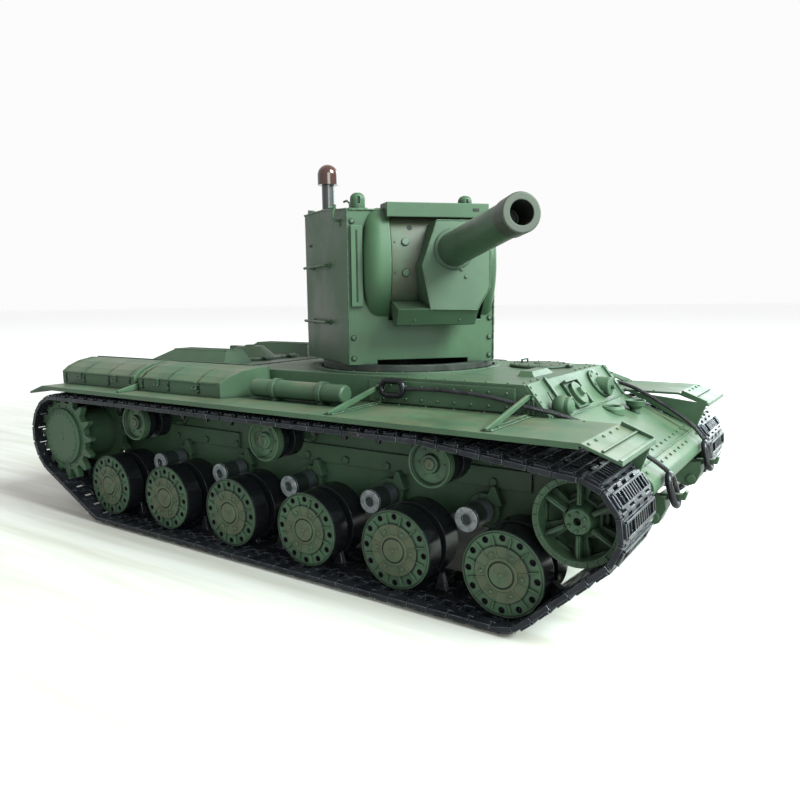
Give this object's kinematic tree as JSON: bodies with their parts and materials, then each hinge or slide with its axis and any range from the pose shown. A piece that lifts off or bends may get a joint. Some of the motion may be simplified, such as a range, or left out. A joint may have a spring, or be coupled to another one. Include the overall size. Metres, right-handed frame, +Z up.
{
  "type": "remote control tank",
  "caption": "Remote control model of a heavy tank: tracked hull with swing-arm suspension, tall slab-sided turret turned to one side, short howitzer, tow cables and opening hatches.",
  "frame": {"origin": "on the ground, under the middle of the model's box", "axes": "+X the way the tank drives forward, +Y its left side, +Z up"},
  "size_m": [0.402, 0.2074, 0.2168],
  "materials": {
    "hull_paint": "matte green paint",
    "wheel_black": "glossy black plastic",
    "track_black": "black plastic links",
    "arm_steel": "bare steel",
    "sprocket_paint": "green and worn metal",
    "cable_black": "black braid",
    "eye_black": "black plastic",
    "receiver_brown": "dark translucent brown",
    "barrel_paint": "green paint, dark muzzle",
    "gearbox_grey": "grey plastic",
    "electronics_blue": "wrapped battery and boards",
    "hatch_dark": "dark green paint"
  },
  "bodies": {
    "hull": {"lower_hull": "hull_paint", "upper_hull": "hull_paint", "fenders": "hull_paint", "fender_brackets": "hull_paint", "fender_stowage": "hull_paint", "headlights": "hull_paint", "bow_machine_gun": "hull_paint", "driver_visor": "hull_paint", "tow_hooks": "hull_paint", "tow_cable_right": "cable_black", "tow_cable_left": "cable_black", "cable_eyes": "eye_black", "drive_gearboxes": "gearbox_grey", "electronics": "electronics_blue", "turret_motor": "gearbox_grey", "track_right": "track_black", "track_left": "track_black"},
    "turret": {"turret_shell": "hull_paint", "turret_ring": "hull_paint", "turret_fittings": "hull_paint", "infrared_receiver": "receiver_brown"},
    "gun": {"gun_mantlet": "hull_paint", "gun_barrel": "barrel_paint"},
    "rear_door": {"turret_rear_door": "hull_paint"},
    "roof_hatch": {"turret_hatch": "hull_paint"},
    "bow_hatch": {"hull_hatch": "hatch_dark"},
    "sprocket_right": {"drive_sprocket_right": "sprocket_paint"},
    "arm_right_1": {"swing_arm_right_1": "arm_steel"},
    "wheel_right_1": {"road_wheel_right_1": "wheel_black"},
    "arm_right_2": {"swing_arm_right_2": "arm_steel"},
    "wheel_right_2": {"road_wheel_right_2": "wheel_black"},
    "arm_right_3": {"swing_arm_right_3": "arm_steel"},
    "wheel_right_3": {"road_wheel_right_3": "wheel_black"},
    "arm_right_4": {"swing_arm_right_4": "arm_steel"},
    "wheel_right_4": {"road_wheel_right_4": "wheel_black"},
    "arm_right_5": {"swing_arm_right_5": "arm_steel"},
    "wheel_right_5": {"road_wheel_right_5": "wheel_black"},
    "arm_right_6": {"swing_arm_right_6": "arm_steel"},
    "wheel_right_6": {"road_wheel_right_6": "wheel_black"},
    "idler_right": {"idler_wheel_right": "sprocket_paint"},
    "roller_right_1": {"return_roller_right_1": "wheel_black"},
    "roller_right_2": {"return_roller_right_2": "wheel_black"},
    "roller_right_3": {"return_roller_right_3": "wheel_black"},
    "sprocket_left": {"drive_sprocket_left": "sprocket_paint"},
    "arm_left_1": {"swing_arm_left_1": "arm_steel"},
    "wheel_left_1": {"road_wheel_left_1": "wheel_black"},
    "arm_left_2": {"swing_arm_left_2": "arm_steel"},
    "wheel_left_2": {"road_wheel_left_2": "wheel_black"},
    "arm_left_3": {"swing_arm_left_3": "arm_steel"},
    "wheel_left_3": {"road_wheel_left_3": "wheel_black"},
    "arm_left_4": {"swing_arm_left_4": "arm_steel"},
    "wheel_left_4": {"road_wheel_left_4": "wheel_black"},
    "arm_left_5": {"swing_arm_left_5": "arm_steel"},
    "wheel_left_5": {"road_wheel_left_5": "wheel_black"},
    "arm_left_6": {"swing_arm_left_6": "arm_steel"},
    "wheel_left_6": {"road_wheel_left_6": "wheel_black"},
    "idler_left": {"idler_wheel_left": "sprocket_paint"},
    "roller_left_1": {"return_roller_left_1": "wheel_black"},
    "roller_left_2": {"return_roller_left_2": "wheel_black"},
    "roller_left_3": {"return_roller_left_3": "wheel_black"}
  },
  "joints": [
    {"name": "turret_traverse", "type": "hinge", "parent": "hull", "child": "turret", "pos_m": [0.0332, 0, 0.1015], "axis": [0, 0, 1], "range_deg": [-131.5, 218.5]},
    {"name": "gun_elevation", "type": "hinge", "parent": "turret", "child": "gun", "pos_m": [0.03465, -0.00138, 0.155], "axis": [-0.6884, -0.7254, 0], "range_deg": [-9, 3.7]},
    {"name": "roof_hatch_hinge", "type": "hinge", "parent": "turret", "child": "roof_hatch", "pos_m": [0.01494, 0.0449, 0.18923], "axis": [0.6884, 0.7254, 0], "range_deg": [-95, 0]},
    {"name": "rear_door_hinge", "type": "hinge", "parent": "turret", "child": "rear_door", "pos_m": [-0.0188, 0.02453, 0.14], "axis": [0, 0, 1], "range_deg": [0, 105]},
    {"name": "bow_hatch_hinge", "type": "hinge", "parent": "hull", "child": "bow_hatch", "pos_m": [0.1224, 0.03, 0.0982], "axis": [0, 1, 0], "range_deg": [0, 110]},
    {"name": "sprocket_spin_right", "type": "hinge", "parent": "hull", "child": "sprocket_right", "pos_m": [-0.1723, -0.082, 0.05], "axis": [0, 1, 0], "continuous": true, "deforming": ["track_right"]},
    {"name": "suspension_right_1", "type": "hinge", "parent": "hull", "child": "arm_right_1", "pos_m": [-0.1013, -0.06, 0.03685], "axis": [0, 1, 0], "range_deg": [0, 7], "stiffness_Nm_per_rad": 0.3},
    {"name": "wheel_spin_right_1", "type": "hinge", "parent": "arm_right_1", "child": "wheel_right_1", "pos_m": [-0.1293, -0.082, 0.02235], "axis": [0, 1, 0], "continuous": true},
    {"name": "suspension_right_2", "type": "hinge", "parent": "hull", "child": "arm_right_2", "pos_m": [-0.0473, -0.06, 0.03685], "axis": [0, 1, 0], "range_deg": [0, 10], "stiffness_Nm_per_rad": 0.3},
    {"name": "wheel_spin_right_2", "type": "hinge", "parent": "arm_right_2", "child": "wheel_right_2", "pos_m": [-0.0753, -0.082, 0.02235], "axis": [0, 1, 0], "continuous": true},
    {"name": "suspension_right_3", "type": "hinge", "parent": "hull", "child": "arm_right_3", "pos_m": [0.0067, -0.06, 0.03685], "axis": [0, 1, 0], "range_deg": [0, 10], "stiffness_Nm_per_rad": 0.3},
    {"name": "wheel_spin_right_3", "type": "hinge", "parent": "arm_right_3", "child": "wheel_right_3", "pos_m": [-0.0213, -0.082, 0.02235], "axis": [0, 1, 0], "continuous": true},
    {"name": "suspension_right_4", "type": "hinge", "parent": "hull", "child": "arm_right_4", "pos_m": [0.0607, -0.06, 0.03685], "axis": [0, 1, 0], "range_deg": [0, 10], "stiffness_Nm_per_rad": 0.3},
    {"name": "wheel_spin_right_4", "type": "hinge", "parent": "arm_right_4", "child": "wheel_right_4", "pos_m": [0.0327, -0.082, 0.02235], "axis": [0, 1, 0], "continuous": true},
    {"name": "suspension_right_5", "type": "hinge", "parent": "hull", "child": "arm_right_5", "pos_m": [0.1147, -0.06, 0.03685], "axis": [0, 1, 0], "range_deg": [0, 10], "stiffness_Nm_per_rad": 0.3},
    {"name": "wheel_spin_right_5", "type": "hinge", "parent": "arm_right_5", "child": "wheel_right_5", "pos_m": [0.0867, -0.082, 0.02235], "axis": [0, 1, 0], "continuous": true},
    {"name": "suspension_right_6", "type": "hinge", "parent": "hull", "child": "arm_right_6", "pos_m": [0.1687, -0.06, 0.03685], "axis": [0, 1, 0], "range_deg": [0, 10], "stiffness_Nm_per_rad": 0.3},
    {"name": "wheel_spin_right_6", "type": "hinge", "parent": "arm_right_6", "child": "wheel_right_6", "pos_m": [0.1407, -0.082, 0.02235], "axis": [0, 1, 0], "continuous": true},
    {"name": "idler_spin_right", "type": "hinge", "parent": "hull", "child": "idler_right", "pos_m": [0.17164, -0.082, 0.05], "axis": [0, 1, 0], "continuous": true},
    {"name": "roller_spin_right_1", "type": "hinge", "parent": "hull", "child": "roller_right_1", "pos_m": [-0.1058, -0.082, 0.064], "axis": [0, 1, 0], "continuous": true},
    {"name": "roller_spin_right_2", "type": "hinge", "parent": "hull", "child": "roller_right_2", "pos_m": [0.0029, -0.082, 0.064], "axis": [0, 1, 0], "continuous": true},
    {"name": "roller_spin_right_3", "type": "hinge", "parent": "hull", "child": "roller_right_3", "pos_m": [0.1036, -0.082, 0.064], "axis": [0, 1, 0], "continuous": true},
    {"name": "sprocket_spin_left", "type": "hinge", "parent": "hull", "child": "sprocket_left", "pos_m": [-0.1723, 0.082, 0.05], "axis": [0, 1, 0], "continuous": true, "deforming": ["track_left"]},
    {"name": "suspension_left_1", "type": "hinge", "parent": "hull", "child": "arm_left_1", "pos_m": [-0.1013, 0.06, 0.03685], "axis": [0, 1, 0], "range_deg": [0, 7], "stiffness_Nm_per_rad": 0.3},
    {"name": "wheel_spin_left_1", "type": "hinge", "parent": "arm_left_1", "child": "wheel_left_1", "pos_m": [-0.1293, 0.082, 0.02235], "axis": [0, 1, 0], "continuous": true},
    {"name": "suspension_left_2", "type": "hinge", "parent": "hull", "child": "arm_left_2", "pos_m": [-0.0473, 0.06, 0.03685], "axis": [0, 1, 0], "range_deg": [0, 10], "stiffness_Nm_per_rad": 0.3},
    {"name": "wheel_spin_left_2", "type": "hinge", "parent": "arm_left_2", "child": "wheel_left_2", "pos_m": [-0.0753, 0.082, 0.02235], "axis": [0, 1, 0], "continuous": true},
    {"name": "suspension_left_3", "type": "hinge", "parent": "hull", "child": "arm_left_3", "pos_m": [0.0067, 0.06, 0.03685], "axis": [0, 1, 0], "range_deg": [0, 10], "stiffness_Nm_per_rad": 0.3},
    {"name": "wheel_spin_left_3", "type": "hinge", "parent": "arm_left_3", "child": "wheel_left_3", "pos_m": [-0.0213, 0.082, 0.02235], "axis": [0, 1, 0], "continuous": true},
    {"name": "suspension_left_4", "type": "hinge", "parent": "hull", "child": "arm_left_4", "pos_m": [0.0607, 0.06, 0.03685], "axis": [0, 1, 0], "range_deg": [0, 10], "stiffness_Nm_per_rad": 0.3},
    {"name": "wheel_spin_left_4", "type": "hinge", "parent": "arm_left_4", "child": "wheel_left_4", "pos_m": [0.0327, 0.082, 0.02235], "axis": [0, 1, 0], "continuous": true},
    {"name": "suspension_left_5", "type": "hinge", "parent": "hull", "child": "arm_left_5", "pos_m": [0.1147, 0.06, 0.03685], "axis": [0, 1, 0], "range_deg": [0, 10], "stiffness_Nm_per_rad": 0.3},
    {"name": "wheel_spin_left_5", "type": "hinge", "parent": "arm_left_5", "child": "wheel_left_5", "pos_m": [0.0867, 0.082, 0.02235], "axis": [0, 1, 0], "continuous": true},
    {"name": "suspension_left_6", "type": "hinge", "parent": "hull", "child": "arm_left_6", "pos_m": [0.1687, 0.06, 0.03685], "axis": [0, 1, 0], "range_deg": [0, 10], "stiffness_Nm_per_rad": 0.3},
    {"name": "wheel_spin_left_6", "type": "hinge", "parent": "arm_left_6", "child": "wheel_left_6", "pos_m": [0.1407, 0.082, 0.02235], "axis": [0, 1, 0], "continuous": true},
    {"name": "idler_spin_left", "type": "hinge", "parent": "hull", "child": "idler_left", "pos_m": [0.17164, 0.082, 0.05], "axis": [0, 1, 0], "continuous": true},
    {"name": "roller_spin_left_1", "type": "hinge", "parent": "hull", "child": "roller_left_1", "pos_m": [-0.1058, 0.082, 0.064], "axis": [0, 1, 0], "continuous": true},
    {"name": "roller_spin_left_2", "type": "hinge", "parent": "hull", "child": "roller_left_2", "pos_m": [0.0029, 0.082, 0.064], "axis": [0, 1, 0], "continuous": true},
    {"name": "roller_spin_left_3", "type": "hinge", "parent": "hull", "child": "roller_left_3", "pos_m": [0.1036, 0.082, 0.064], "axis": [0, 1, 0], "continuous": true}
  ],
  "couplings": [
    {"joint": "wheel_spin_right_1", "follows": "sprocket_spin_right", "ratio": 1.3676},
    {"joint": "wheel_spin_right_2", "follows": "sprocket_spin_right", "ratio": 1.3676},
    {"joint": "wheel_spin_right_3", "follows": "sprocket_spin_right", "ratio": 1.3676},
    {"joint": "wheel_spin_right_4", "follows": "sprocket_spin_right", "ratio": 1.3676},
    {"joint": "wheel_spin_right_5", "follows": "sprocket_spin_right", "ratio": 1.3676},
    {"joint": "wheel_spin_right_6", "follows": "sprocket_spin_right", "ratio": 1.3676},
    {"joint": "idler_spin_right", "follows": "sprocket_spin_right", "ratio": 1.409},
    {"joint": "roller_spin_right_1", "follows": "sprocket_spin_right", "ratio": 2.3312},
    {"joint": "roller_spin_right_2", "follows": "sprocket_spin_right", "ratio": 2.3312},
    {"joint": "roller_spin_right_3", "follows": "sprocket_spin_right", "ratio": 2.3312},
    {"joint": "wheel_spin_left_1", "follows": "sprocket_spin_left", "ratio": 1.3676},
    {"joint": "wheel_spin_left_2", "follows": "sprocket_spin_left", "ratio": 1.3676},
    {"joint": "wheel_spin_left_3", "follows": "sprocket_spin_left", "ratio": 1.3676},
    {"joint": "wheel_spin_left_4", "follows": "sprocket_spin_left", "ratio": 1.3676},
    {"joint": "wheel_spin_left_5", "follows": "sprocket_spin_left", "ratio": 1.3676},
    {"joint": "wheel_spin_left_6", "follows": "sprocket_spin_left", "ratio": 1.3676},
    {"joint": "idler_spin_left", "follows": "sprocket_spin_left", "ratio": 1.409},
    {"joint": "roller_spin_left_1", "follows": "sprocket_spin_left", "ratio": 2.3312},
    {"joint": "roller_spin_left_2", "follows": "sprocket_spin_left", "ratio": 2.3312},
    {"joint": "roller_spin_left_3", "follows": "sprocket_spin_left", "ratio": 2.3312}
  ]
}
